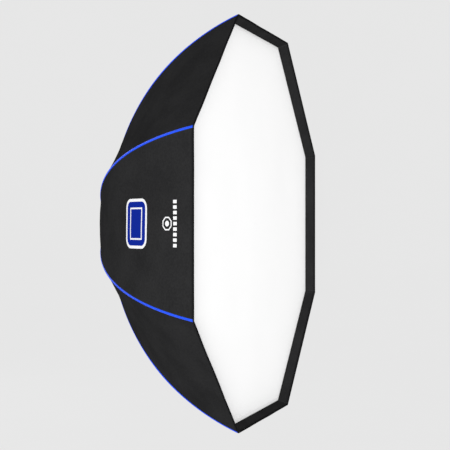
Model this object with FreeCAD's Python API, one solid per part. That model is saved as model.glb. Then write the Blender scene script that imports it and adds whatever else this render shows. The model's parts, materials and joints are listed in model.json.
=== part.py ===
"""Studio softbox, an eight-sided parabolic umbrella box that folds.

Millimetres, +Z up. The optical axis is Y: the light mounts at the back (+Y) and the
diffuser faces the front (-Y). The origin is the centre of the light mount's seat.
Ribs and panels are built in a local frame (x out from the axis, y along the axis,
z along the rim) and then turned about Y into place.
"""
import FreeCAD
import Part
import math
import os

V = FreeCAD.Vector

# overall
RIBS = 8
STEP = 360.0 / RIBS
FIRST = STEP / 2.0
HALF = math.radians(STEP / 2.0)
CORNER_R = 750.0            # rim, axis to corner: a 150 cm octagon
ARC_R = 930.0               # curve of the seams from rim to hub
RIM_LEAN = 19.8             # seam direction at the rim, degrees off the axis
RIM_Y = -608.0              # front edge of the cover

# hub and fold
PIVOT_R = 92.0              # rib hinge, distance from the axis
PIVOT_Y = -43.0
ARM = 30.0                  # inner arm of each rib knuckle
FOLD = 52.0                 # degrees a rib swings in
PIN_R = 2.5
PIN_HALF = 9.3
PIN_GAP = 0.4
CROSS_R = 2.0
CROSS_HALF = 10.0

# ribs
ROD_R = 4.0
ROD_ARC = 880.0             # curve of a rod, from its hinge to its tip
TIP_INSET = 10.0            # tip centre inside the seam
SOCKET_R = 6.5
SOCKET_FROM = 14.0
ROD_FROM = 18.5
SOCKET_TO = 58.0
WEB_HALF = 3.8
WEB_DEEP = 6.0
BOSS_R = 8.0
ARM_END_R = 4.0
TIP_Y = -562.0              # where a rod's cap ends, just behind the diffuser
CAP_R = 6.0
CAP_LEN = 30.0
CAP_END = 4.0

# cover
SKIN = 1.2
SEAM_GAP = 0.2
SHELL_FROM_R = 112.0
PIPING_W = 8.5
PIPING_T = 2.5
PIPING_GAP = 0.4
PIPING_FROM_R = 117.0
PIPING_SHORT = 5.0          # piping stops short of the rim

# diffuser
RECESS = 38.0
DIFFUSER_R = 731.0
DIFFUSER_T = 1.5

# light mount
BORE_R = 49.0
SLEEVE_R = 54.0
FLANGE_R = 76.0
FLANGE_T = 8.0
SLEEVE_END = -20.0
LUGS = 3
LUG_ARC = 26.0
LUG_IN = 63.0
LUG_STEM = 67.0
LUG_OUT = 71.0
LUG_BACK = 7.0
LUG_T = 2.5

# hub ring
HUB_IN = 54.4
HUB_OUT = 86.0
HUB_BACK = -8.4
HUB_FRONT = -24.0
RECESS_R = 58.6
RECESS_FLOOR = -19.6
RETAINER_R = 58.0
RETAINER_FRONT = -23.0
SCREWS = 6
SCREW_PCD_R = 51.6
SCREW_R = 1.25
SCREW_DEPTH = 9.0
SCREW_HEAD_R = 2.0
SCREW_HEAD_T = 1.4
EAR_IN = 4.3
EAR_T = 4.0
EAR_R = 8.0
EAR_FOOT_R = 80.0
FIT = 0.05                  # room round a pin or screw fixed in its hole
OVER = 1.0                  # a cutting tool runs this far past the face

# push ring and its guides
PUSH_IN = 52.0
PUSH_OUT = 74.0
PUSH_T = 9.4
NOTCH_FROM = 57.4
NOTCH_HALF = 4.5
SLOT_FROM = 59.4
SLOT_TO = 67.4
SLOT_HALF = 2.5
POSTS = 4
POST_PCD_R = 65.0
POST_R = 3.0
POST_IN = 6.0
POST_GAP = 0.4
POST_FRONT = -68.0
END_RING_BACK = -64.0
END_RING_IN = 59.0
END_RING_OUT = 71.0

# lock
LOCK_Y = -13.0
LOCK_R = 2.5
LOCK_GAP = 0.35
LOCK_FROM = 0.9             # screw tip, off the sleeve when backed out
KNOB_R = 8.0
KNOB_FROM = 89.0
KNOB_TO = 102.0
KNOB_FLUTES = 6
FLUTE_R = 2.7
COLLAR_R = 4.6
COLLAR_T = 2.2

# centre of the seam arc in a rib's plane
LEAN = math.radians(RIM_LEAN)
ARC_X = CORNER_R - ARC_R * math.cos(LEAN)
ARC_Y = RIM_Y - ARC_R * math.sin(LEAN)
ARC_C = V(ARC_X, ARC_Y, 0)

# centre of the rod arc, which runs through the hinge and the tip
TIP_PSI = math.asin((TIP_Y - ARC_Y) / (ARC_R - TIP_INSET))
TIP_X = ARC_X + (ARC_R - TIP_INSET) * math.cos(TIP_PSI)
CHORD = V(TIP_X - PIVOT_R, TIP_Y - PIVOT_Y, 0)
RISE = math.sqrt(ROD_ARC ** 2 - (CHORD.Length / 2.0) ** 2)
ACROSS = V(CHORD.y, -CHORD.x, 0) * (RISE / CHORD.Length)
ROD_C = V(PIVOT_R, PIVOT_Y, 0) + CHORD * 0.5 + ACROSS
HINGE_PSI = math.atan2(PIVOT_Y - ROD_C.y, PIVOT_R - ROD_C.x)
END_PSI = math.atan2(TIP_Y - ROD_C.y, TIP_X - ROD_C.x)
AXIS_Y = V(0, 1, 0)
AXIS_Z = V(0, 0, 1)
ORIGIN = V(0, 0, 0)
OUT = {}


def psi_at_x(radius, x):
    return math.acos((x - ARC_X) / radius)


def arc_point(radius, psi):
    return V(ARC_X + radius * math.cos(psi), ARC_Y + radius * math.sin(psi), 0)


def along_rod(length):
    """Angle on the rod's arc this far from the hinge, towards the rim."""
    return HINGE_PSI - length / ROD_ARC


def place(shape, index):
    turned = shape.copy()
    turned.rotate(ORIGIN, AXIS_Y, -(FIRST + STEP * index))
    return turned


def turn(shape, degrees):
    turned = shape.copy()
    turned.rotate(ORIGIN, AXIS_Y, -degrees)
    return turned


def ring(r_in, r_out, y_back, y_front):
    """Flat ring about the Y axis between two stations."""
    depth = y_back - y_front
    outer = Part.makeCylinder(r_out, depth, V(0, y_front, 0), AXIS_Y)
    inner = Part.makeCylinder(r_in, depth, V(0, y_front, 0), AXIS_Y)
    return outer.cut(inner)


def rod_y(radius, x, y_back, y_front):
    return Part.makeCylinder(radius, y_back - y_front, V(x, y_front, 0), AXIS_Y)


def rod_z(radius, x, y, z_from, z_to):
    return Part.makeCylinder(radius, z_to - z_from, V(x, y, z_from), AXIS_Z)


def plate(points, z_from, z_to):
    """Prism of an x-y outline between two heights in z."""
    corners = [V(x, y, z_from) for x, y in points]
    corners.append(corners[0])
    face = Part.Face(Part.makePolygon(corners))
    return face.extrude(V(0, 0, z_to - z_from))


def block(x0, x1, y0, y1, z0, z1):
    return Part.makeBox(x1 - x0, y1 - y0, z1 - z0, V(x0, y0, z0))


def swept_disc(radius, psi_from, psi_to):
    """Round bar along a rod's arc."""
    circle = Part.makeCircle(radius, ROD_C + V(ROD_ARC, 0, 0), AXIS_Y)
    face = Part.Face(Part.Wire(circle))
    face.rotate(ROD_C, AXIS_Z, math.degrees(psi_from))
    return face.revolve(ROD_C, AXIS_Z, math.degrees(psi_to - psi_from))


def swept_strip(arc_in, arc_out, half_width, psi_from, psi_to):
    """Flat strip following the seam arc."""
    y = ARC_Y
    corners = [
        V(ARC_X + arc_in, y, -half_width),
        V(ARC_X + arc_out, y, -half_width),
        V(ARC_X + arc_out, y, half_width),
        V(ARC_X + arc_in, y, half_width),
    ]
    corners.append(corners[0])
    face = Part.Face(Part.makePolygon(corners))
    face.rotate(ARC_C, AXIS_Z, math.degrees(psi_from))
    return face.revolve(ARC_C, AXIS_Z, math.degrees(psi_to - psi_from))


def tangent_point(x, y, cx, cy, radius, side):
    """Where a line from (x, y) touches a circle, on the chosen side."""
    dx = x - cx
    dy = y - cy
    base = math.atan2(dy, dx)
    spread = math.acos(radius / math.hypot(dx, dy))
    angle = base + side * spread
    return (cx + radius * math.cos(angle), cy + radius * math.sin(angle))


def keep(name, solids):
    OUT[name] = solids


# light mount, fixed to the lamp

def mount_ring():
    body = ring(BORE_R, FLANGE_R, 0, -FLANGE_T)
    body = body.fuse(ring(BORE_R, SLEEVE_R, -FLANGE_T, SLEEVE_END))
    for n in range(LUGS):
        stem = lug_sector(LUG_IN, LUG_STEM, -OVER, LUG_BACK)
        tab = lug_sector(LUG_IN, LUG_OUT, LUG_BACK - LUG_T, LUG_BACK)
        lug = stem.fuse(tab)
        body = body.fuse(turn(lug, 90.0 + n * 360.0 / LUGS))
    for n in range(SCREWS):
        hole = rod_y(SCREW_R + FIT, SCREW_PCD_R, SLEEVE_END + SCREW_DEPTH + 2.0,
                     SLEEVE_END - OVER)
        body = body.cut(turn(hole, n * 360.0 / SCREWS))
    return body.removeSplitter()


def lug_sector(r_in, r_out, y_front, y_back):
    face = Part.Face(Part.makePolygon([
        V(r_in, y_front, 0),
        V(r_out, y_front, 0),
        V(r_out, y_back, 0),
        V(r_in, y_back, 0),
        V(r_in, y_front, 0),
    ]))
    sector = face.revolve(ORIGIN, AXIS_Y, LUG_ARC)
    sector.rotate(ORIGIN, AXIS_Y, -LUG_ARC / 2.0)
    return sector


def retaining_ring():
    body = ring(BORE_R + 0.5, RETAINER_R, SLEEVE_END, RETAINER_FRONT)
    for n in range(SCREWS):
        hole = rod_y(SCREW_R + FIT, SCREW_PCD_R, SLEEVE_END + OVER,
                     RETAINER_FRONT - OVER)
        body = body.cut(turn(hole, n * 360.0 / SCREWS))
    return body


def retaining_screws():
    found = []
    for n in range(SCREWS):
        shank = rod_y(SCREW_R, SCREW_PCD_R, SLEEVE_END + SCREW_DEPTH, RETAINER_FRONT)
        head = rod_y(SCREW_HEAD_R, SCREW_PCD_R, RETAINER_FRONT,
                     RETAINER_FRONT - SCREW_HEAD_T)
        found.append(turn(shank.fuse(head).removeSplitter(), n * 360.0 / SCREWS))
    return found


# hub ring and what is fixed to it

def ear(side):
    outer = tangent_point(HUB_OUT, HUB_FRONT, PIVOT_R, PIVOT_Y, EAR_R, -1)
    inner = tangent_point(EAR_FOOT_R, HUB_FRONT, PIVOT_R, PIVOT_Y, EAR_R, 1)
    outline = [
        (EAR_FOOT_R, HUB_FRONT + 4.0),
        (HUB_OUT - 0.5, HUB_FRONT + 4.0),
        (HUB_OUT, HUB_FRONT),
        outer,
        (PIVOT_R, PIVOT_Y),
        inner,
        (EAR_FOOT_R, HUB_FRONT),
    ]
    low = EAR_IN
    high = EAR_IN + EAR_T
    if side < 0:
        low, high = -high, -low
    body = plate(outline, low, high)
    body = body.fuse(rod_z(EAR_R, PIVOT_R, PIVOT_Y, low, high))
    return body.cut(rod_z(PIN_R + FIT, PIVOT_R, PIVOT_Y, low - OVER, high + OVER))


def hub_ring():
    body = ring(HUB_IN, HUB_OUT, HUB_BACK, HUB_FRONT)
    body = body.cut(Part.makeCylinder(RECESS_R, RECESS_FLOOR - HUB_FRONT,
                                      V(0, HUB_FRONT, 0), AXIS_Y))
    for k in range(RIBS):
        for side in (-1, 1):
            body = body.fuse(place(ear(side), k))
    for n in range(POSTS):
        hole = rod_y(POST_R + FIT, POST_PCD_R, HUB_FRONT + POST_IN, HUB_FRONT - OVER)
        body = body.cut(turn(hole, n * 360.0 / POSTS))
    body = body.cut(rod_z(LOCK_R + LOCK_GAP, 0, LOCK_Y, HUB_IN / 2.0, HUB_OUT + OVER))
    return body.removeSplitter()


def rib_hinge_pins():
    pin = rod_z(PIN_R, PIVOT_R, PIVOT_Y, -PIN_HALF, PIN_HALF)
    return [place(pin, k) for k in range(RIBS)]


def guide_posts():
    post = rod_y(POST_R, POST_PCD_R, HUB_FRONT + POST_IN, POST_FRONT)
    return [turn(post, n * 360.0 / POSTS) for n in range(POSTS)]


def post_end_ring():
    body = ring(END_RING_IN, END_RING_OUT, END_RING_BACK, POST_FRONT)
    for n in range(POSTS):
        hole = rod_y(POST_R + FIT, POST_PCD_R, END_RING_BACK + OVER, POST_FRONT - OVER)
        body = body.cut(turn(hole, n * 360.0 / POSTS))
    return body


def rear_cuff():
    outline = [
        (HUB_OUT + 0.05, -20.4),
        (HUB_OUT + 1.25, -20.4),
        (HUB_OUT + 1.25, -21.8),
        (101.0, -26.6),
        (114.0, -28.6),
        (113.9, -29.8),
        (100.6, -27.8),
        (HUB_OUT + 0.05, -23.4),
    ]
    corners = [V(x, y, 0) for x, y in outline]
    corners.append(corners[0])
    face = Part.Face(Part.makePolygon(corners))
    return face.revolve(ORIGIN, AXIS_Y, 360.0)


# lock knob

def lock_knob():
    body = rod_z(KNOB_R, 0, LOCK_Y, KNOB_FROM, KNOB_TO)
    for n in range(KNOB_FLUTES):
        a = math.radians(n * 360.0 / KNOB_FLUTES)
        x = (KNOB_R + 1.6) * math.cos(a)
        y = LOCK_Y + (KNOB_R + 1.6) * math.sin(a)
        body = body.cut(rod_z(FLUTE_R, x, y, KNOB_FROM - OVER, KNOB_TO + OVER))
    body = body.fuse(rod_z(COLLAR_R, 0, LOCK_Y, KNOB_FROM - COLLAR_T, KNOB_FROM))
    bore = rod_z(LOCK_R + FIT, 0, LOCK_Y, KNOB_FROM - COLLAR_T - OVER, KNOB_TO - 4.0)
    return body.removeSplitter().cut(bore)


def lock_screw():
    return rod_z(LOCK_R, 0, LOCK_Y, SLEEVE_R + LOCK_FROM, KNOB_TO - 4.0)


# push ring

def push_ring():
    swing = math.radians(FOLD / 2.0)
    mid = PIVOT_Y - ARM * math.sin(swing)
    back = mid + PUSH_T / 2.0
    front = mid - PUSH_T / 2.0
    body = ring(PUSH_IN, PUSH_OUT, back, front)
    notch = block(NOTCH_FROM, PUSH_OUT + OVER, front - OVER, back + OVER,
                  -NOTCH_HALF, NOTCH_HALF)
    slot = block(SLOT_FROM, SLOT_TO, mid - SLOT_HALF, mid + SLOT_HALF,
                 -CROSS_HALF - 0.5, CROSS_HALF + 0.5)
    for k in range(RIBS):
        body = body.cut(place(notch, k))
        body = body.cut(place(slot, k))
    for n in range(POSTS):
        hole = rod_y(POST_R + POST_GAP, POST_PCD_R, back + OVER, front - OVER)
        body = body.cut(turn(hole, n * 360.0 / POSTS))
    return body


# ribs

def rib_rod():
    cap_back = END_PSI + CAP_LEN / ROD_ARC
    floor = END_PSI + CAP_END / ROD_ARC
    rod = swept_disc(ROD_R, along_rod(ROD_FROM), floor)
    cap = swept_disc(CAP_R, cap_back, END_PSI)
    bore = swept_disc(ROD_R + FIT, cap_back + OVER / ROD_ARC, floor)
    return [rod, cap.cut(bore)]


def rib_knuckle():
    out = V(math.sin(HINGE_PSI), -math.cos(HINGE_PSI), 0)
    normal = V(-out.y, out.x, 0)
    pivot = V(PIVOT_R, PIVOT_Y, 0)
    far = pivot + out * (SOCKET_FROM + 6.0)
    web = plate([
        (pivot.x + normal.x * WEB_DEEP, pivot.y + normal.y * WEB_DEEP),
        (far.x + normal.x * WEB_DEEP, far.y + normal.y * WEB_DEEP),
        (far.x - normal.x * WEB_DEEP, far.y - normal.y * WEB_DEEP),
        (pivot.x - normal.x * WEB_DEEP, pivot.y - normal.y * WEB_DEEP),
    ], -WEB_HALF, WEB_HALF)
    swing = math.radians(FOLD / 2.0)
    arm = V(-math.cos(swing), -math.sin(swing), 0)
    side = V(-arm.y, arm.x, 0)
    end = pivot + arm * ARM
    lever = plate([
        (pivot.x + side.x * WEB_DEEP, pivot.y + side.y * WEB_DEEP),
        (end.x + side.x * ARM_END_R, end.y + side.y * ARM_END_R),
        (end.x - side.x * ARM_END_R, end.y - side.y * ARM_END_R),
        (pivot.x - side.x * WEB_DEEP, pivot.y - side.y * WEB_DEEP),
    ], -WEB_HALF, WEB_HALF)
    body = rod_z(BOSS_R, pivot.x, pivot.y, -WEB_HALF, WEB_HALF)
    body = body.fuse(lever)
    body = body.fuse(rod_z(ARM_END_R, end.x, end.y, -WEB_HALF, WEB_HALF))
    body = body.fuse(web)
    socket = swept_disc(SOCKET_R, along_rod(SOCKET_FROM), along_rod(SOCKET_TO))
    body = body.fuse(socket)
    bore = swept_disc(ROD_R + FIT, along_rod(ROD_FROM), along_rod(SOCKET_TO + OVER))
    body = body.cut(bore)
    eye = rod_z(PIN_R + PIN_GAP, pivot.x, pivot.y, -WEB_HALF - OVER, WEB_HALF + OVER)
    body = body.cut(eye)
    body = body.fuse(rod_z(CROSS_R, end.x, end.y, -CROSS_HALF, CROSS_HALF))
    return body.removeSplitter()


def seam_piping():
    start = psi_at_x(ARC_R, PIPING_FROM_R)
    stop = LEAN + PIPING_SHORT / ARC_R
    inner = ARC_R + PIPING_GAP
    return swept_strip(inner, inner + PIPING_T, PIPING_W / 2.0, start, stop)


# cover and diffuser, each rib carrying the half panels and the kite beside it

def wedge(side, reach, y_back, y_front):
    """Space between a rib's plane and the middle of the panel beside it."""
    mid = V(math.cos(HALF), 0, side * math.sin(HALF))
    near = SEAM_GAP * (1.0 + math.cos(HALF)) / math.sin(HALF)
    tip = V(near, 0, side * SEAM_GAP)
    outer = V(reach, 0, side * SEAM_GAP)
    far = tip + mid * reach
    corners = [tip, outer, far]
    corners = [V(c.x, y_front, c.z) for c in corners]
    corners.append(corners[0])
    face = Part.Face(Part.makePolygon(corners))
    return face.extrude(V(0, y_back - y_front, 0))


def shell_panel(side):
    psi_rim = LEAN
    psi_hub = psi_at_x(ARC_R, SHELL_FROM_R)
    middle = (psi_rim + psi_hub) / 2.0
    inner_r = ARC_R - SKIN
    a = arc_point(ARC_R, psi_rim)
    b = arc_point(ARC_R, psi_hub)
    c = arc_point(inner_r, psi_hub)
    d = arc_point(inner_r, psi_rim)
    wire = Part.Wire([
        Part.Arc(a, arc_point(ARC_R, middle), b).toShape(),
        Part.makeLine(b, c),
        Part.Arc(c, arc_point(inner_r, middle), d).toShape(),
        Part.makeLine(d, a),
    ])
    edge = V(-math.sin(HALF), 0, side * math.cos(HALF))
    sheet = Part.Face(wire).extrude(edge * 310.0)
    return sheet.common(wedge(side, 1200.0, 0, RIM_Y - 20.0))


def diffuser_panel():
    front = RIM_Y + RECESS
    corner = V(DIFFUSER_R, front, 0)
    mid_r = DIFFUSER_R * math.cos(HALF)
    gap = SEAM_GAP / math.cos(HALF)
    points = [V(SEAM_GAP / math.sin(HALF), front, 0)]
    for side in (-1, 1):
        mid = V(mid_r * math.cos(HALF), front, side * (mid_r * math.sin(HALF) - gap))
        points.append(mid)
        if side < 0:
            points.append(corner)
    points.append(points[0])
    face = Part.Face(Part.makePolygon(points))
    return face.extrude(V(0, DIFFUSER_T, 0))


def build():
    keep("mount_ring", [mount_ring()])
    keep("retaining_ring", [retaining_ring()])
    keep("retaining_screws", retaining_screws())
    keep("hub_ring", [hub_ring()])
    keep("rib_hinge_pins", rib_hinge_pins())
    keep("guide_posts", guide_posts())
    keep("post_end_ring", [post_end_ring()])
    keep("rear_cuff", [rear_cuff()])
    keep("lock_knob", [lock_knob()])
    keep("lock_screw", [lock_screw()])
    keep("push_ring", [push_ring()])
    rod = rib_rod()
    knuckle = rib_knuckle()
    piping = seam_piping()
    left = shell_panel(-1)
    right = shell_panel(1)
    kite = diffuser_panel()
    for k in range(RIBS):
        n = k + 1
        keep("rib_rod_%d" % n, [place(s, k) for s in rod])
        keep("rib_knuckle_%d" % n, [place(knuckle, k)])
        keep("seam_piping_%d" % n, [place(piping, k)])
        keep("shell_panel_%d_left" % n, [place(left, k)])
        keep("shell_panel_%d_right" % n, [place(right, k)])
        keep("diffuser_panel_%d" % n, [place(kite, k)])


build()
os.makedirs("parts", exist_ok=True)
for name, solids in OUT.items():
    found = []
    for shape in solids:
        found.extend(shape.Solids)
    if len(found) == 1:
        shape = found[0]
    else:
        shape = Part.makeCompound(found)
    shape.exportStep(os.path.join("parts", name + ".step"))
    print(name, len(found), round(shape.Volume, 1), shape.isValid())
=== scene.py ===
"""Visual model of the folding studio softbox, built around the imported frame.

Metres, +Z up, light mount at +Y, diffuser at -Y. Shell, piping and diffuser pieces are
made in a rib's own plane (x out from the axis, y along it, z along the rim) and then
turned about Y to their rib.
"""
import json
import math
import bpy
import numpy as np
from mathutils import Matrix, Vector, noise

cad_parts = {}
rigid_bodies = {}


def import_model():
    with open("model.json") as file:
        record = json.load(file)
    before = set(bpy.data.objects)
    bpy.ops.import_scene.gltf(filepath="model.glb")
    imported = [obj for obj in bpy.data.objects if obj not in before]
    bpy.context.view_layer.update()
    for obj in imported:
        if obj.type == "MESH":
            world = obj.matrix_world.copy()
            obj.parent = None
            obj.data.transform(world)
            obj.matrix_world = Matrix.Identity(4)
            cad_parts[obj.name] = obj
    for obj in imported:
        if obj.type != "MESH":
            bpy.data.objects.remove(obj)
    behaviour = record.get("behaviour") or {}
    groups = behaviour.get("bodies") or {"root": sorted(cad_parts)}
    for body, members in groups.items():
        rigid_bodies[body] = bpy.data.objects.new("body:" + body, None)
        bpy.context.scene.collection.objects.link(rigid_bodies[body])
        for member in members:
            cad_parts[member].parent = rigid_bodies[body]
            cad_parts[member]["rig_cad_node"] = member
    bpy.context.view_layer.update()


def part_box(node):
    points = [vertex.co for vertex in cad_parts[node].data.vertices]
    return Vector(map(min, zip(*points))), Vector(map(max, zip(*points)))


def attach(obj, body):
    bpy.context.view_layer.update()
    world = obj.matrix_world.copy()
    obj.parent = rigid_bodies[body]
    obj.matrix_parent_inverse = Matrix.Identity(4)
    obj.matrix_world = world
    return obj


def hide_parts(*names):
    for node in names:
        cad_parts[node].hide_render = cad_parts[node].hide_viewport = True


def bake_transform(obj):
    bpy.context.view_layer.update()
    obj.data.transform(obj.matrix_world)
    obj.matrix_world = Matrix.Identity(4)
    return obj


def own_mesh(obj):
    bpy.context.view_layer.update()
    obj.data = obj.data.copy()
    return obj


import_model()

RIBS = 8
HALF = math.radians(22.5)
CORNER_R = 0.750
ARC_R = 0.930
LEAN = math.radians(19.8)
SKIN = 0.0012
SHELL_FROM_R = 0.1105
PIPING_FROM_R = 0.117
PIPING_W = 0.0085
PIPING_SHORT = 0.005
RECESS = 0.038
DIFFUSER_R = 0.7315
DIFFUSER_T = 0.0012
HEM_WIDE = 0.014            # the diffuser's hem
HEM_THICK = 0.0006
LIP = 0.047                 # black part of the inside, from the rim

# threads and stitches, all in metres
NYLON_WEAVE = 0.0011
RIPSTOP = 0.003
RIPSTOP_HALF = 0.0002
HEM_EDGE = 0.009            # where the cover's folded hem ends, from the rim
HEM_STITCHES = 0.0072       # from the rim
SEAM_STITCHES = 0.0062      # from the seam
LINING_WEAVE = 0.0012
DIFFUSER_WEAVE = 0.0009
DIFFUSER_STITCHES = 0.010   # from the diffuser's edge
TAPE_RIBS = 0.0016
TAPE_STITCHES = 0.0030      # from the tape's middle
CUFF_STITCHES = 0.0045

# printed shapes, as distances from the rim, half sizes and line widths
LABEL_AT = 0.280
LABEL_HALF_V = 0.064
LABEL_HALF_U = 0.078
LABEL_CORNER = 0.030
LABEL_BORDER = 0.009
LABEL_INSET = 0.030
LABEL_LINE = 0.0025
BADGE_AT = 0.1145
BADGE_APOTHEM = 0.0205
BADGE_LINE = 0.002
BADGE_SPOT = 0.0122
BARS_AT = 0.079
BARS = 9
BAR_PITCH = 0.0165
BAR_GAP = 0.16              # share of the pitch, each side
BAR_HALF = 0.0075
INK_EDGE = 0.0004
INK = (0.80, 0.80, 0.81)
PRINTED = {(3, 1), (4, -1)}     # half gores that carry the print

RIM_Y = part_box("shell_panel_1_left")[0][1] + SKIN * math.sin(LEAN)
ARC_X = CORNER_R - ARC_R * math.cos(LEAN)
ARC_Y = RIM_Y - ARC_R * math.sin(LEAN)


def psi_at_x(radius, x):
    """Angle on the seam's arc of this radius where it is x from the axis."""
    return math.acos((x - ARC_X) / radius)


def spin(points, rib):
    """Turns local points about Y to rib number rib, counted from 0."""
    a = HALF + rib * 2 * HALF
    p = np.asarray(points, float)
    out = p.copy()
    out[..., 0] = p[..., 0] * math.cos(a) - p[..., 2] * math.sin(a)
    out[..., 2] = p[..., 0] * math.sin(a) + p[..., 2] * math.cos(a)
    return out


# ---------------------------------------------------------------- materials

class Nodes:
    """A material's node tree with short calls."""

    def __init__(self, name):
        self.mat = bpy.data.materials.new(name)
        self.mat.use_nodes = True
        self.tree = self.mat.node_tree
        self.bsdf = self.tree.nodes["Principled BSDF"]

    def put(self, socket, value):
        """Links a socket to it, or sets it as the default."""
        if isinstance(value, bpy.types.NodeSocket):
            self.tree.links.new(value, socket)
        else:
            socket.default_value = value

    def node(self, kind, **inputs):
        n = self.tree.nodes.new(kind)
        for key, value in inputs.items():
            self.put(n.inputs[key], value)
        return n

    def set(self, **values):
        """Sets the shader's own sockets; an underscore stands for a space."""
        for key, value in values.items():
            self.put(self.bsdf.inputs[key.replace("_", " ")], value)

    def math(self, op, a, b=0.0, c=0.0):
        n = self.tree.nodes.new("ShaderNodeMath")
        n.operation = op
        for socket, value in zip(n.inputs, (a, b, c)):
            self.put(socket, value)
        return n.outputs[0]

    def uv(self, layer):
        """The two coordinates of a UV layer, both in metres."""
        n = self.tree.nodes.new("ShaderNodeUVMap")
        n.uv_map = layer
        s = self.tree.nodes.new("ShaderNodeSeparateXYZ")
        self.put(s.inputs[0], n.outputs[0])
        return s.outputs[0], s.outputs[1]

    def position(self):
        return self.node("ShaderNodeTexCoord").outputs["Object"]

    def noise(self, vector, scale, detail=2.0, rough=0.5):
        n = self.node("ShaderNodeTexNoise", Vector=vector, Scale=scale, Detail=detail,
                      Roughness=rough)
        return n.outputs["Fac"]

    def ramp(self, fac, low, high, a, b):
        """Smooth step from a at low to b at high."""
        n = self.tree.nodes.new("ShaderNodeMapRange")
        n.interpolation_type = "SMOOTHSTEP"
        for socket, value in zip(n.inputs, (fac, low, high, a, b)):
            self.put(socket, value)
        return n.outputs[0]

    def mix(self, fac, a, b):
        n = self.tree.nodes.new("ShaderNodeMix")
        n.data_type = "RGBA"
        self.put(n.inputs[0], fac)
        self.put(n.inputs[6], a if isinstance(a, bpy.types.NodeSocket) else (*a, 1))
        self.put(n.inputs[7], b if isinstance(b, bpy.types.NodeSocket) else (*b, 1))
        return n.outputs[2]

    def bump(self, height, distance, strength=1.0, normal=None):
        n = self.node("ShaderNodeBump", Height=height, Distance=distance,
                      Strength=strength)
        if normal is not None:
            self.put(n.inputs["Normal"], normal)
        return n.outputs[0]

    def weave(self, u, v, pitch):
        """Plain weave: two threads crossing over and under."""
        k = math.pi / pitch
        su = self.math("SINE", self.math("MULTIPLY", u, k))
        sv = self.math("SINE", self.math("MULTIPLY", v, k))
        return self.math("MULTIPLY", su, sv)

    def band(self, x, centre, half, soft):
        """1 inside centre +- half, falling to 0 over soft."""
        d = self.math("ABSOLUTE", self.math("SUBTRACT", x, centre))
        return self.ramp(d, half, half + soft, 1.0, 0.0)

    def stitches(self, across, along, at, pitch=0.004, width=0.0004):
        """A line of stitches at one distance across."""
        line = self.band(across, at, width, 0.0003)
        dash = self.math("FRACT", self.math("DIVIDE", along, pitch))
        on = self.band(dash, 0.4, 0.3, 0.08)
        return self.math("MULTIPLY", line, on)


def rounded_box(n, x, y, half_x, half_y, radius):
    """Distance outside a rounded rectangle; negative inside."""
    dx = n.math("SUBTRACT", n.math("ABSOLUTE", x), half_x - radius)
    dy = n.math("SUBTRACT", n.math("ABSOLUTE", y), half_y - radius)
    ox = n.math("MAXIMUM", dx, 0.0)
    oy = n.math("MAXIMUM", dy, 0.0)
    far = n.math("SQRT", n.math("ADD", n.math("MULTIPLY", ox, ox),
                                n.math("MULTIPLY", oy, oy)))
    near = n.math("MINIMUM", n.math("MAXIMUM", dx, dy), 0.0)
    return n.math("SUBTRACT", n.math("ADD", far, near), radius)


def octagon(n, x, y, apothem):
    """Distance outside an octagon; negative inside."""
    ax = n.math("ABSOLUTE", x)
    ay = n.math("ABSOLUTE", y)
    flat = n.math("MAXIMUM", ax, ay)
    diagonal = n.math("MULTIPLY", n.math("ADD", ax, ay), math.sqrt(0.5))
    return n.math("SUBTRACT", n.math("MAXIMUM", flat, diagonal), apothem)


def nylon(name, marked=False):
    """Black coated nylon with stitched seams, a hem and, on one gore, a print."""
    n = Nodes(name)
    u, v = n.uv("cloth")
    s, _ = n.uv("edge")
    where = n.position()
    blotch = n.noise(where, 9.0, 3.0)
    fine = n.noise(where, 160.0, 2.0)
    tone = n.math("ADD", n.math("MULTIPLY", blotch, 0.5), n.math("MULTIPLY", fine, 0.5))
    base = n.mix(n.ramp(tone, 0.3, 0.7, 0.0, 1.0), (0.0170, 0.0170, 0.0176),
                 (0.0252, 0.0252, 0.0259))
    hem = n.ramp(v, HEM_EDGE - 0.0005, HEM_EDGE + 0.0005, 1.0, 0.0)
    base = n.mix(hem, base, (0.0090, 0.0090, 0.0095))
    thread = n.math("MAXIMUM", n.stitches(v, u, HEM_STITCHES),
                    n.stitches(s, v, SEAM_STITCHES))
    base = n.mix(n.math("MULTIPLY", thread, 0.8), base, (0.055, 0.055, 0.058))
    rough = n.ramp(tone, 0.2, 0.8, 0.70, 0.82)
    weave = n.weave(u, v, NYLON_WEAVE)
    grid = [n.band(n.math("PINGPONG", along, RIPSTOP), RIPSTOP, RIPSTOP_HALF, RIPSTOP_HALF)
            for along in (u, v)]
    rip = n.math("MAXIMUM", *grid)
    if marked:
        base, rough = printed(n, u, v, base, rough)
    crease = n.noise(where, 22.0, 4.0, 0.55)
    bump = n.bump(crease, 0.0022, 0.35)
    bump = n.bump(n.math("ADD", weave, n.math("MULTIPLY", rip, 1.5)), 0.00012, 0.5, bump)
    bump = n.bump(n.math("ADD", hem, thread), 0.0004, 0.8, bump)
    n.set(Base_Color=base, Roughness=rough, Normal=bump, IOR=1.47, Specular_IOR_Level=0.0)
    return n.mat


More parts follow.
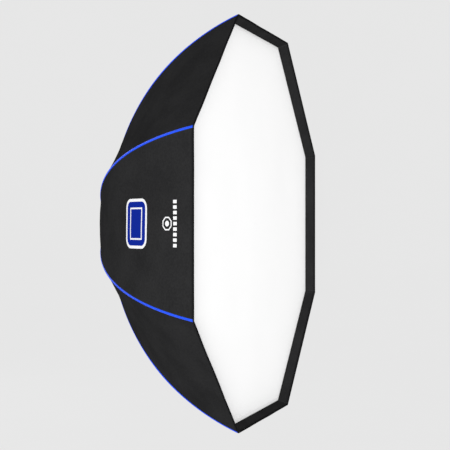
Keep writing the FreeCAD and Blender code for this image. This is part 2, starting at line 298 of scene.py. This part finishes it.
def printed(n, u, v, base, rough):
    """Plain printed shapes on the gore: a blue label, an octagon and some bars."""
    label = rounded_box(n, n.math("SUBTRACT", v, LABEL_AT), u, LABEL_HALF_V,
                        LABEL_HALF_U, LABEL_CORNER)
    white = n.ramp(label, -INK_EDGE, INK_EDGE, 1.0, 0.0)
    blue = n.ramp(label, -LABEL_BORDER - INK_EDGE, -LABEL_BORDER + INK_EDGE, 1.0, 0.0)
    inner = n.math("ABSOLUTE", n.math("ADD", label, LABEL_INSET))
    inner = n.ramp(inner, LABEL_LINE - 0.0003, LABEL_LINE + 0.0003, 1.0, 0.0)
    size = octagon(n, n.math("SUBTRACT", v, BADGE_AT), u, BADGE_APOTHEM)
    outline = n.ramp(n.math("ABSOLUTE", n.math("ADD", size, BADGE_LINE)),
                     BADGE_LINE - INK_EDGE, BADGE_LINE + INK_EDGE, 1.0, 0.0)
    spot = n.ramp(size, -BADGE_SPOT - INK_EDGE, -BADGE_SPOT + INK_EDGE, 1.0, 0.0)
    step = n.math("PINGPONG", n.math("ADD", u, BAR_PITCH / 2), BAR_PITCH / 2)
    bars = n.ramp(step, BAR_PITCH * BAR_GAP, BAR_PITCH * BAR_GAP + 0.001, 0.0, 1.0)
    span = n.math("MULTIPLY", n.band(u, 0.0, BAR_PITCH * BARS / 2, 0.0006),
                  n.band(v, BARS_AT, BAR_HALF, 0.0006))
    bars = n.math("MULTIPLY", bars, span)
    ink = white
    for shape in (outline, spot, bars):
        ink = n.math("MAXIMUM", ink, shape)
    base = n.mix(ink, base, INK)
    base = n.mix(blue, base, (0.006, 0.020, 0.26))
    base = n.mix(n.math("MULTIPLY", inner, blue), base, INK)
    rough = n.math("SUBTRACT", rough, n.math("MULTIPLY", ink, 0.05))
    return base, rough


def silver_lining():
    """Silver coating inside the cover, crinkled, with the weave under it."""
    n = Nodes("silver_lining")
    u, v = n.uv("cloth")
    where = n.position()
    crinkle = n.noise(where, 38.0, 5.0, 0.6)
    tone = n.noise(where, 6.0, 2.0)
    base = n.mix(tone, (0.60, 0.61, 0.62), (0.78, 0.785, 0.79))
    bump = n.bump(crinkle, 0.003, 0.5)
    bump = n.bump(n.weave(u, v, LINING_WEAVE), 0.0001, 0.4, bump)
    n.set(Base_Color=base, Metallic=0.85, Normal=bump,
          Roughness=n.ramp(crinkle, 0.3, 0.7, 0.34, 0.5))
    return n.mat


def diffusion_cloth():
    """White cloth with a painted glow, a weak emission that stands in for the light passing
    through it; hemmed and stitched.
    """
    n = Nodes("diffusion_cloth")
    u, v = n.uv("cloth")
    s, _ = n.uv("edge")
    where = n.position()
    cloud = n.noise(where, 5.0, 3.0)
    grain = n.noise(where, 240.0, 2.0)
    tone = n.math("ADD", n.math("MULTIPLY", cloud, 0.6), n.math("MULTIPLY", grain, 0.4))
    base = n.mix(tone, (0.93, 0.93, 0.93), (0.97, 0.97, 0.97))
    thread = n.stitches(s, u, DIFFUSER_STITCHES)
    hem = n.ramp(s, HEM_WIDE - 0.0008, HEM_WIDE + 0.0006, 1.0, 0.0)
    base = n.mix(n.math("MULTIPLY", hem, 0.55), base, (0.86, 0.86, 0.86))
    base = n.mix(n.math("MULTIPLY", thread, 0.6), base, (0.60, 0.60, 0.60))
    weave = n.weave(u, v, DIFFUSER_WEAVE)
    bump = n.bump(n.noise(where, 7.0, 2.0), 0.004, 0.25)
    bump = n.bump(weave, 0.00008, 0.4, bump)
    bump = n.bump(n.math("ADD", hem, thread), 0.0003, 0.5, bump)
    # painted glow: the emission lights the cloth as if the flash shone through it; there is no
    # lamp inside the box
    n.set(Base_Color=base, Roughness=n.ramp(tone, 0.3, 0.7, 0.82, 0.9), Normal=bump,
          Emission_Color=(1.0, 1.0, 1.0, 1.0), Emission_Strength=0.095)
    return n.mat


def blue_tape():
    """Ribbed woven tape with a line of stitches along each edge."""
    n = Nodes("blue_tape")
    u, v = n.uv("cloth")
    rib = n.math("SINE", n.math("MULTIPLY", v, 2 * math.pi / TAPE_RIBS))
    tone = n.noise(n.position(), 60.0, 3.0)
    base = n.mix(tone, (0.006, 0.050, 0.70), (0.012, 0.085, 0.92))
    thread = n.stitches(n.math("ABSOLUTE", u), v, TAPE_STITCHES, 0.0034, 0.00025)
    base = n.mix(thread, base, (0.03, 0.14, 0.95))
    bump = n.bump(rib, 0.00012, 0.5)
    bump = n.bump(thread, 0.0003, 0.6, bump)
    n.set(Base_Color=base, Roughness=n.ramp(tone, 0.3, 0.7, 0.5, 0.62), Normal=bump,
          Specular_IOR_Level=0.15)
    return n.mat


def cuff_cloth():
    """Elastic band: fine wrinkles, a weave and a line of stitches."""
    n = Nodes("cuff_cloth")
    u, v = n.uv("cloth")
    where = n.position()
    tone = n.noise(where, 70.0, 3.0)
    base = n.mix(tone, (0.016, 0.016, 0.017), (0.030, 0.030, 0.031))
    thread = n.stitches(v, u, CUFF_STITCHES, 0.0035)
    base = n.mix(thread, base, (0.09, 0.09, 0.09))
    bump = n.bump(n.noise(where, 90.0, 4.0), 0.0012, 0.4)
    bump = n.bump(n.weave(u, v, NYLON_WEAVE), 0.0001, 0.5, bump)
    n.set(Base_Color=base, Roughness=n.ramp(tone, 0.3, 0.7, 0.66, 0.8), Normal=bump,
          Sheen_Weight=0.15)
    return n.mat


def metal(name, dark, light, rough, metallic=1.0, grain=900.0, coat=0.0, brushed=False):
    """Turned or painted metal with grain, small stains and handling marks."""
    n = Nodes(name)
    where = n.position()
    stretch = n.node("ShaderNodeMapping", Vector=where)
    stretch.inputs["Scale"].default_value = (1.0, 0.06, 1.0) if brushed else (1, 1, 1)
    fine = n.noise(stretch.outputs[0], grain, 3.0)
    stain = n.noise(where, 45.0, 4.0, 0.6)
    scuff = n.noise(where, 300.0, 2.0, 0.7)
    base = n.mix(stain, dark, light)
    base = n.mix(n.ramp(scuff, 0.66, 0.74, 0.0, 0.35), base,
                 tuple(min(1.0, c * 1.6 + 0.03) for c in light))
    n.set(Base_Color=base, Metallic=metallic, Coat_Weight=coat,
          Roughness=n.ramp(n.math("ADD", stain, n.math("MULTIPLY", fine, 0.5)), 0.4, 1.1,
                           rough - 0.07, rough + 0.09),
          Normal=n.bump(fine, 0.00006, 0.5))
    return n.mat


def plastic(name, dark, light, rough, scale=700.0):
    """Moulded plastic: spark-eroded grain, faint flow tone, polished high spots."""
    n = Nodes(name)
    where = n.position()
    grain = n.noise(where, scale, 3.0)
    flow = n.noise(where, 20.0, 2.0)
    base = n.mix(n.math("ADD", n.math("MULTIPLY", flow, 0.6), n.math("MULTIPLY", grain, 0.4)),
                 dark, light)
    n.set(Base_Color=base, Roughness=n.ramp(flow, 0.3, 0.7, rough - 0.05, rough + 0.07),
          Normal=n.bump(grain, 0.00012, 0.6))
    return n.mat


def glass_fibre():
    """Pultruded rod: fine lengthwise streaks under a dull resin."""
    n = Nodes("glass_fibre")
    where = n.position()
    streak = n.noise(where, 420.0, 4.0, 0.7)
    tone = n.noise(where, 14.0, 2.0)
    base = n.mix(tone, (0.020, 0.020, 0.022), (0.045, 0.045, 0.047))
    base = n.mix(n.ramp(streak, 0.55, 0.7, 0.0, 0.5), base, (0.10, 0.10, 0.10))
    n.set(Base_Color=base, Roughness=n.ramp(streak, 0.3, 0.7, 0.36, 0.5), Coat_Weight=0.15,
          Normal=n.bump(streak, 0.00008, 0.5))
    return n.mat


NYLON = nylon("black_nylon")
NYLON_PRINT = nylon("black_nylon_printed", marked=True)
SILVER = silver_lining()
WHITE = diffusion_cloth()
BLUE = blue_tape()
CUFF = cuff_cloth()


# ---------------------------------------------------------------- meshes

def make_object(name, verts, faces, materials, face_slots, uvs, sharp=()):
    """Smooth-shaded mesh with one value a vertex in each UV layer."""
    mesh = bpy.data.meshes.new(name)
    mesh.from_pydata([tuple(map(float, p)) for p in verts], [], faces)
    for m in materials:
        mesh.materials.append(m)
    mesh.polygons.foreach_set("material_index", face_slots)
    mesh.polygons.foreach_set("use_smooth", [True] * len(faces))
    corners = np.zeros(len(mesh.loops), int)
    mesh.loops.foreach_get("vertex_index", corners)
    for layer, values in uvs.items():
        data = mesh.uv_layers.new(name=layer)
        data.data.foreach_set("uv", np.asarray(values, np.float32)[corners].ravel())
    if sharp:
        marks = {tuple(sorted(e)) for e in sharp}
        flags = [tuple(sorted(e.vertices)) in marks for e in mesh.edges]
        mesh.edges.foreach_set("use_edge_sharp", flags)
    mesh.update()
    obj = bpy.data.objects.new(name, mesh)
    bpy.context.scene.collection.objects.link(obj)
    return obj


def slab(name, outer, inner, uvs, materials, slot_out, slot_in, flip):
    """Closed sheet between two grids of points with the same shape."""
    rows, cols = outer.shape[:2]
    verts = np.concatenate([outer.reshape(-1, 3), inner.reshape(-1, 3)])
    back = rows * cols
    faces = []
    slots = []
    sharp = []

    def at(i, j, layer=0):
        return layer * back + i * cols + j

    def add(face, slot):
        faces.append(face[::-1] if flip else face)
        slots.append(slot)

    for i in range(rows - 1):
        for j in range(cols - 1):
            add([at(i, j), at(i, j + 1), at(i + 1, j + 1), at(i + 1, j)], slot_out(i, j))
            add([at(i, j, 1), at(i + 1, j, 1), at(i + 1, j + 1, 1), at(i, j + 1, 1)],
                slot_in(i, j))
    loop = [(0, j) for j in range(cols)]
    loop += [(i, cols - 1) for i in range(1, rows)]
    loop += [(rows - 1, j) for j in range(cols - 2, -1, -1)]
    loop += [(i, 0) for i in range(rows - 2, 0, -1)]
    for a, b in zip(loop, loop[1:] + loop[:1]):
        add([at(*a), at(*a, 1), at(*b, 1), at(*b)], slot_out(min(a[0], rows - 2),
                                                            min(a[1], cols - 2)))
        sharp += [(at(*a), at(*b)), (at(*a, 1), at(*b, 1))]
    both = {k: np.concatenate([v.reshape(-1, 2)] * 2) for k, v in uvs.items()}
    return make_object(name, verts, faces, materials, slots, both, sharp)


def follow_across(obj):
    """Bakes the object's transform into its mesh."""
    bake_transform(obj)


def undulate(points, scale, size):
    """Smooth noise at each point, the same wherever two pieces share it."""
    flat = points.reshape(-1, 3)
    out = np.array([noise.noise(Vector(p) * scale) for p in flat]) * size
    return out.reshape(points.shape[:-1])


ROWS = 70
COLS = 19
HEM_ROWS = (0.0, 0.0006, 0.002, 0.005, 0.0088, 0.0096, 0.0104)
HEM_LIFT = (0.0, 0.00045, 0.0007, 0.0008, 0.0007, 0.0002, 0.0)
PULL = 0.0055               # how far the tight cloth pulls in between the ribs
RIPPLES = ((5.0, 0.0035), (14.0, 0.0012))
EDGE_WAVE = (9.0, 0.0016)
GATHER = 0.003              # folds at the hub
GATHER_WIDE = 0.12
BULGE = 0.0070              # slack that stands out near the hub
BULGE_AT = 0.88
BULGE_WIDE = 0.065


def shell_half(rib, side):
    """Half a gore, from its rib's seam (t = 0) to the middle of the gore (t = 1)."""
    name = "left" if side < 0 else "right"
    psi_rim = LEAN
    psi_hub = psi_at_x(ARC_R, SHELL_FROM_R)
    near_rim = np.array(HEM_ROWS) / ARC_R / (psi_hub - psi_rim)
    steps = np.concatenate([near_rim, np.linspace(0.016, 1.0, ROWS - len(near_rim))])
    psi = psi_rim + (psi_hub - psi_rim) * steps
    across = np.linspace(0, 1, COLS) ** 0.9
    r = ARC_X + ARC_R * np.cos(psi)
    y = ARC_Y + ARC_R * np.sin(psi)
    sh, ch = math.sin(HALF), math.cos(HALF)
    t = across[None, :]
    local = np.zeros((ROWS, COLS, 3))
    local[..., 0] = r[:, None] * (1 - t * sh * sh)
    local[..., 1] = y[:, None]
    local[..., 2] = side * r[:, None] * t * sh * ch
    nm = np.cos(psi)
    ny = np.sin(psi) * ch
    size = np.hypot(nm, ny)
    nm, ny = nm / size, ny / size
    normal = np.zeros_like(local)
    normal[..., 0] = (nm * ch)[:, None]
    normal[..., 1] = ny[:, None]
    normal[..., 2] = (side * nm * sh)[:, None]
    share = (psi - psi_rim) / (psi_hub - psi_rim)
    along = np.sin(np.pi * np.clip(share, 0, 1)) ** 0.8
    pull = (1 - (1 - t) ** 2) * along[:, None]
    world = spin(local, rib)
    ripple = sum(undulate(world, *waves) for waves in RIPPLES)
    gather = np.exp(-((share - 1.0) / GATHER_WIDE) ** 2)[:, None] * (t * (1.02 - t))
    edge_wave = undulate(world * np.array([1, 0.2, 1]), *EDGE_WAVE)
    free = np.minimum(1.0, t * 5.0)
    depth = PULL * pull + ripple * free * along[:, None]
    depth = depth + edge_wave * free * (1 - along[:, None]) * 0.8
    depth = depth + gather * GATHER * np.sin(t * math.pi * 3)
    slack = np.exp(-((share - BULGE_AT) / BULGE_WIDE) ** 2)[:, None] * t * (2 - t)
    depth = depth - BULGE * slack
    hem = np.zeros(ROWS)
    hem[:len(HEM_LIFT)] = HEM_LIFT
    depth = depth - hem[:, None]
    outer = local - normal * depth[..., None]
    inward = normal.copy()
    inward[:, 0, 2] = 0
    inward[:, 0] /= (inward[:, 0] ** 2).sum(axis=1)[:, None]
    inner = outer - inward * (SKIN + 1.6 * hem)[:, None, None]
    m = np.concatenate([[0.0], np.cumsum(np.hypot(np.diff(r * ch), np.diff(y)))])
    width = r * sh
    u = -side * width[:, None] * (1 - t)
    v = np.repeat(m[:, None], COLS, axis=1)
    s = width[:, None] * t * np.ones_like(v)
    uvs = {"cloth": np.stack([u, v], -1), "edge": np.stack([s, v], -1)}
    marked = (rib, side) in PRINTED
    lip_row = int(np.searchsorted(m, LIP))
    n = rib + 1
    obj = slab("cover_%d_%s" % (n, name), spin(outer, rib), spin(inner, rib), uvs,
               [NYLON_PRINT if marked else NYLON, NYLON, SILVER],
               lambda i, j: 0, lambda i, j: 1 if i < lip_row else 2, side > 0)
    follow_across(obj)
    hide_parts("shell_panel_%d_%s" % (n, name))


for rib in range(RIBS):
    for side in (-1, 1):
        shell_half(rib, side)


TAPE_TOP = 0.0024           # crown of the tape where it stands proudest
TAPE_LIFT = 0.0006
TAPE_UNDER = 0.00035
TAPE_FLAT = 0.38            # share of the crown left at the ends
TAPE_PROUD_AT = 0.40
TAPE_PROUD_WIDE = 0.17


def piping(rib):
    """Tape over a rib's seam, bent over its ridge and proudest along its middle."""
    psi = np.linspace(LEAN + PIPING_SHORT / ARC_R, psi_at_x(ARC_R, PIPING_FROM_R), 90)
    half = PIPING_W / 2
    top = [(half * math.sin(a), TAPE_TOP * math.cos(a) ** 0.8) for a in
           np.linspace(-math.pi / 2 + 0.02, math.pi / 2 - 0.02, 13)]
    rows = []
    for p in psi:
        fall = math.tan(HALF) * math.cos(p) / math.hypot(1, math.tan(HALF) * math.sin(p))
        share = (p - psi[0]) / (psi[-1] - psi[0])
        crown = math.exp(-((share - TAPE_PROUD_AT) / TAPE_PROUD_WIDE) ** 2)
        proud = TAPE_FLAT + (1 - TAPE_FLAT) * crown
        ring = [(a, b * proud + TAPE_LIFT - fall * (math.hypot(a, 0.0008) - 0.0008))
                for a, b in top]
        ring += [(a, TAPE_UNDER - fall * abs(a)) for a in np.linspace(half, -half, 5)]
        for a, b in ring:
            radius = ARC_R + b
            rows.append((ARC_X + radius * math.cos(p), ARC_Y + radius * math.sin(p), a))
    count = len(top) + 5
    pts = np.array(rows).reshape(len(psi), count, 3)
    verts = spin(pts, rib).reshape(-1, 3)
    faces = []
    for i in range(len(psi) - 1):
        for j in range(count):
            k = (j + 1) % count
            faces.append([i * count + j, i * count + k, (i + 1) * count + k,
                          (i + 1) * count + j])
    faces.append(list(range(count))[::-1])
    faces.append([(len(psi) - 1) * count + j for j in range(count)])
    uv = np.zeros((len(psi), count, 2))
    uv[..., 0] = pts[..., 2]
    uv[..., 1] = ((psi - psi[0]) * ARC_R)[:, None]
    n = rib + 1
    obj = make_object("piping_%d" % n, verts, faces, [BLUE], [0] * len(faces),
                      {"cloth": uv.reshape(-1, 2)})
    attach(obj, "rib_%d" % n)
    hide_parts("seam_piping_%d" % n)


for rib in range(RIBS):
    piping(rib)


DIFFUSER_WAVES = ((3.2, 0.0022), (8.0, 0.0007))
DIFFUSER_SAG = 0.0008


def diffuser(rib):
    """One kite of the diffuser, from its centre to a rib's corner, with its hem."""
    front = RIM_Y + RECESS
    ch, sh = math.cos(HALF), math.sin(HALF)
    corner = np.array([DIFFUSER_R, 0.0])
    mid = DIFFUSER_R * ch
    left = np.array([mid * ch, -mid * sh])
    right = np.array([mid * ch, mid * sh])
    rows, cols = 40, 25
    hem = 1 - HEM_WIDE / mid
    spoke = np.concatenate([np.linspace(0.004, hem - 0.004, rows - 5),
                            [hem - 0.0012, hem + 0.0012, (1 + hem) / 2, 0.9985, 1.0]])
    s = np.linspace(-1, 1, cols)
    rim = np.where(s[:, None] < 0, corner + (left - corner) * -s[:, None],
                   corner + (right - corner) * s[:, None])
    plane = spoke[:, None, None] * rim[None]
    local = np.zeros((rows, cols, 3))
    local[..., 0] = plane[..., 0]
    local[..., 2] = plane[..., 1]
    local[..., 1] = front
    world = spin(local, rib)
    soft = (spoke * (1 - spoke) * 4)[:, None]
    wave = sum(undulate(world, *waves) for waves in DIFFUSER_WAVES)
    local[..., 1] += wave * soft + DIFFUSER_SAG * soft
    local[spoke > hem, :, 1] -= HEM_THICK
    local[-1, :, 1] += HEM_THICK
    back = local.copy()
    back[..., 1] += DIFFUSER_T
    turned = spin(local, rib)
    uv = np.stack([turned[..., 0], turned[..., 2]], -1)
    edge = (1 - spoke)[:, None] * mid * np.ones((rows, cols))
    n = rib + 1
    obj = slab("diffuser_cloth_%d" % n, turned, spin(back, rib),
               {"cloth": uv, "edge": np.stack([edge, edge], -1)}, [WHITE],
               lambda i, j: 0, lambda i, j: 0, False)
    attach(obj, "diffuser_%d" % n)
    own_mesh(obj)
    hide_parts("diffuser_panel_%d" % n)


for rib in range(RIBS):
    diffuser(rib)


# section of the cuff, as distances from the axis and along it, in millimetres
CUFF_PROFILE = [(86.1, -20.5), (87.0, -20.2), (87.7, -20.6), (87.8, -21.6), (87.5, -22.2),
                (88.6, -22.4), (91.0, -23.3), (94.5, -24.5), (98.0, -25.7), (102.0, -26.9),
                (108.0, -27.9), (113.6, -28.7), (114.5, -29.2), (114.4, -29.9),
                (113.4, -30.1), (107.0, -29.2), (101.0, -28.2), (95.5, -26.6),
                (91.0, -25.1), (87.5, -23.9), (86.1, -23.4)]
CUFF_COLS = 25
CUFF_TIGHT_R = 87.8         # the stitched band ends and the gathers start
CUFF_FREE_R = 88.6          # from here out the computed weights rise from 0
CUFF_FREE_WIDE = 19.4
CUFF_GATHER = 0.55
CUFF_REACH = 2.2            # extra width between the ribs, tucked under the cover


def cuff(rib):
    """Elastic cuff round the hub: a stitched band, then gathers down to the cover.
    """
    middle = HALF + rib * 2 * HALF
    m = len(CUFF_PROFILE)
    pts = np.zeros((CUFF_COLS, m, 3))
    uv = np.zeros((CUFF_COLS, m, 2))
    weights = np.zeros((CUFF_COLS, m))
    run = 0.0
    for j, (r, y) in enumerate(CUFF_PROFILE):
        if j:
            run += math.dist(CUFF_PROFILE[j - 1], CUFF_PROFILE[j]) / 1000
        loose = min(1.0, max(0.0, (r - CUFF_TIGHT_R) / 3.0))
        loose *= min(1.0, max(0.25, (101.0 - r) / 5.0))
        out = min(1.0, max(0.0, (r - CUFF_FREE_R) / CUFF_FREE_WIDE))
        reach = CUFF_REACH * max(0.0, (r - 100.0) / 14.0)
        for i in range(CUFF_COLS):
            side = 2 * i / (CUFF_COLS - 1) - 1
            a = middle + side * HALF
            fold = math.sin(a * 32) + 0.5 * math.sin(a * 21 + 1.3) + 0.35 * math.sin(a * 53)
            lift = CUFF_GATHER * loose * fold
            far = r + 0.2 * lift + reach * side * side
            back = y + lift - reach * side * side
            pts[i, j] = np.array([far * math.cos(a), back, far * math.sin(a)]) / 1000
            uv[i, j] = (a * 0.09, run)
            weights[i, j] = (1 - abs(side)) ** 1.25 * out * out * (3 - 2 * out)
    faces = [[i * m + j, i * m + (j + 1) % m, (i + 1) * m + (j + 1) % m, (i + 1) * m + j]
             for i in range(CUFF_COLS - 1) for j in range(m)]
    faces.append(list(range(m))[::-1])
    faces.append([(CUFF_COLS - 1) * m + j for j in range(m)])
    n = rib + 1
    sharp = [(i * m + j, i * m + (j + 1) % m) for i in (0, CUFF_COLS - 1) for j in range(m)]
    obj = make_object("cuff_cloth_%d" % n, pts.reshape(-1, 3), faces, [CUFF],
                      [0] * len(faces), {"cloth": uv.reshape(-1, 2)}, sharp)
    follow_across(obj)
    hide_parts("rear_cuff")


for rib in range(RIBS):
    cuff(rib)


# ---------------------------------------------------------------- CAD nodes

LOOKS = {
    "mount_ring": metal("cast_aluminium", (0.50, 0.51, 0.53), (0.66, 0.67, 0.69), 0.34,
                        grain=1200.0),
    "retaining_ring": metal("black_anodised", (0.020, 0.020, 0.022), (0.035, 0.035, 0.038),
                            0.42, metallic=0.6),
    "retaining_screws": metal("steel_screws", (0.42, 0.42, 0.43), (0.60, 0.60, 0.61), 0.30),
    "hub_ring": metal("black_powder_coat", (0.018, 0.018, 0.020), (0.030, 0.030, 0.033),
                      0.52, metallic=0.1, grain=1500.0, coat=0.08),
    "rib_hinge_pins": metal("steel_pins", (0.45, 0.45, 0.46), (0.62, 0.62, 0.63), 0.28),
    "guide_posts": metal("polished_steel", (0.50, 0.51, 0.52), (0.64, 0.65, 0.66), 0.22,
                         brushed=True),
    "post_end_ring": plastic("end_ring_plastic", (0.022, 0.022, 0.024),
                             (0.038, 0.038, 0.041), 0.48),
    "lock_knob": plastic("knob_plastic", (0.016, 0.016, 0.018), (0.030, 0.030, 0.032), 0.46,
                         500.0),
    "lock_screw": metal("lock_steel", (0.40, 0.40, 0.41), (0.58, 0.58, 0.59), 0.32),
    "push_ring": plastic("push_ring_plastic", (0.024, 0.024, 0.026), (0.042, 0.042, 0.045),
                         0.44),
    "rib_rod": glass_fibre(),
    "rib_knuckle": metal("knuckle_coat", (0.022, 0.022, 0.024), (0.040, 0.040, 0.043), 0.45,
                         metallic=0.3, grain=1300.0),
}


def kind_of(node):
    """A node's name without its number."""
    parts = node.rsplit("_", 1)
    return parts[0] if parts[-1].isdigit() else node


for obj in bpy.context.scene.objects:
    node = obj.get("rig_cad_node")
    if node and kind_of(obj.name) in LOOKS:
        for slot in obj.material_slots:
            slot.link = "OBJECT"
            slot.material = LOOKS[kind_of(obj.name)]


# ---------------------------------------------------------------- stage, light, camera

PALE = (0.79, 0.79, 0.79)
WALL_R = 9.0
WALL_TOP = 14.0
SWEEP_R = 3.0
SWEEP_STEPS = 18
STAGE_SIDES = 96
STAGE_Z = -1.3
GLOW = 0.96


def studio():
    """Pale floor that sweeps up into a round wall, lit from within to an even tone."""
    n = Nodes("studio_paper")
    tone = n.noise(n.position(), 2.0, 2.0)
    n.set(Base_Color=n.mix(tone, (0.045, 0.045, 0.045), (0.055, 0.055, 0.055)), Roughness=0.95,
          Emission_Color=(*PALE, 1.0), Emission_Strength=GLOW, Specular_IOR_Level=0.0)
    profile = [(SWEEP_R, 0.0)]
    for i in range(SWEEP_STEPS + 1):
        a = math.radians(90.0 * i / SWEEP_STEPS)
        profile.append((WALL_R - SWEEP_R * (1 - math.sin(a)), SWEEP_R * (1 - math.cos(a))))
    profile.append((WALL_R, WALL_TOP))
    turns = [2 * math.pi * i / STAGE_SIDES for i in range(STAGE_SIDES)]
    verts = [(r * math.cos(a), r * math.sin(a), z + STAGE_Z) for a in turns for r, z in profile]
    verts.append((0.0, 0.0, STAGE_Z))
    m = len(profile)
    faces = []
    for i in range(STAGE_SIDES):
        k = (i + 1) % STAGE_SIDES
        faces.append([len(verts) - 1, i * m, k * m])
        faces += [[i * m + j, i * m + j + 1, k * m + j + 1, k * m + j] for j in range(m - 1)]
    mesh = bpy.data.meshes.new("studio_floor")
    mesh.from_pydata(verts, [], faces)
    mesh.materials.append(n.mat)
    mesh.polygons.foreach_set("use_smooth", [True] * len(faces))
    obj = bpy.data.objects.new("studio_floor", mesh)
    bpy.context.scene.collection.objects.link(obj)


studio()


def area_light(name, place, target, size, power, spread):
    """Square soft light aimed at target; spread is its beam in degrees."""
    data = bpy.data.lights.new(name, "AREA")
    data.shape = "SQUARE"
    data.size = size
    data.energy = power
    data.spread = math.radians(spread)
    obj = bpy.data.objects.new(name, data)
    obj.location = place
    aim = Vector(target) - Vector(place)
    obj.rotation_euler = aim.to_track_quat("-Z", "Y").to_euler()
    bpy.context.scene.collection.objects.link(obj)


area_light("key", (-5.4, -2.0, -0.5), (0, -0.3, 0), 1.5, 17, 50)
area_light("rear_fill", (2.5, 4.5, 1.6), (0, -0.2, 0), 2.5, 90, 180)

world = bpy.data.worlds.new("studio_air")
world.use_nodes = True
sky = world.node_tree.nodes["Background"]
sky.inputs["Color"].default_value = (*PALE, 1)
sky.inputs["Strength"].default_value = 0.15
bpy.context.scene.world = world
bpy.context.scene.view_settings.view_transform = "Standard"
bpy.context.scene.view_settings.look = "None"

# the photograph's viewpoint, in apothems of the rim from the rim's centre
APOTHEM = CORNER_R * math.cos(HALF)
EYE_RIGHT = 0.2070
EYE_UP = 0.0061
EYE_BACK = 5.3352
LENS = 82.93
TURN = math.radians(70.20)
VIEW = Vector((math.sin(TURN), math.cos(TURN), 0.0))
RIGHT = Vector((math.cos(TURN), -math.sin(TURN), 0.0))
UP = Vector((0, 0, 1))
centre = Vector((0, RIM_Y, 0))
eye = centre - APOTHEM * (EYE_RIGHT * RIGHT + EYE_UP * UP + EYE_BACK * VIEW)
camera = bpy.data.objects.new("camera", bpy.data.cameras.new("camera"))
camera.data.sensor_width = 36.0
camera.data.lens = LENS
camera.data.clip_end = 60.0
camera.location = eye
camera.rotation_euler = VIEW.to_track_quat("-Z", "Y").to_euler()
bpy.context.scene.collection.objects.link(camera)
bpy.context.scene.camera = camera
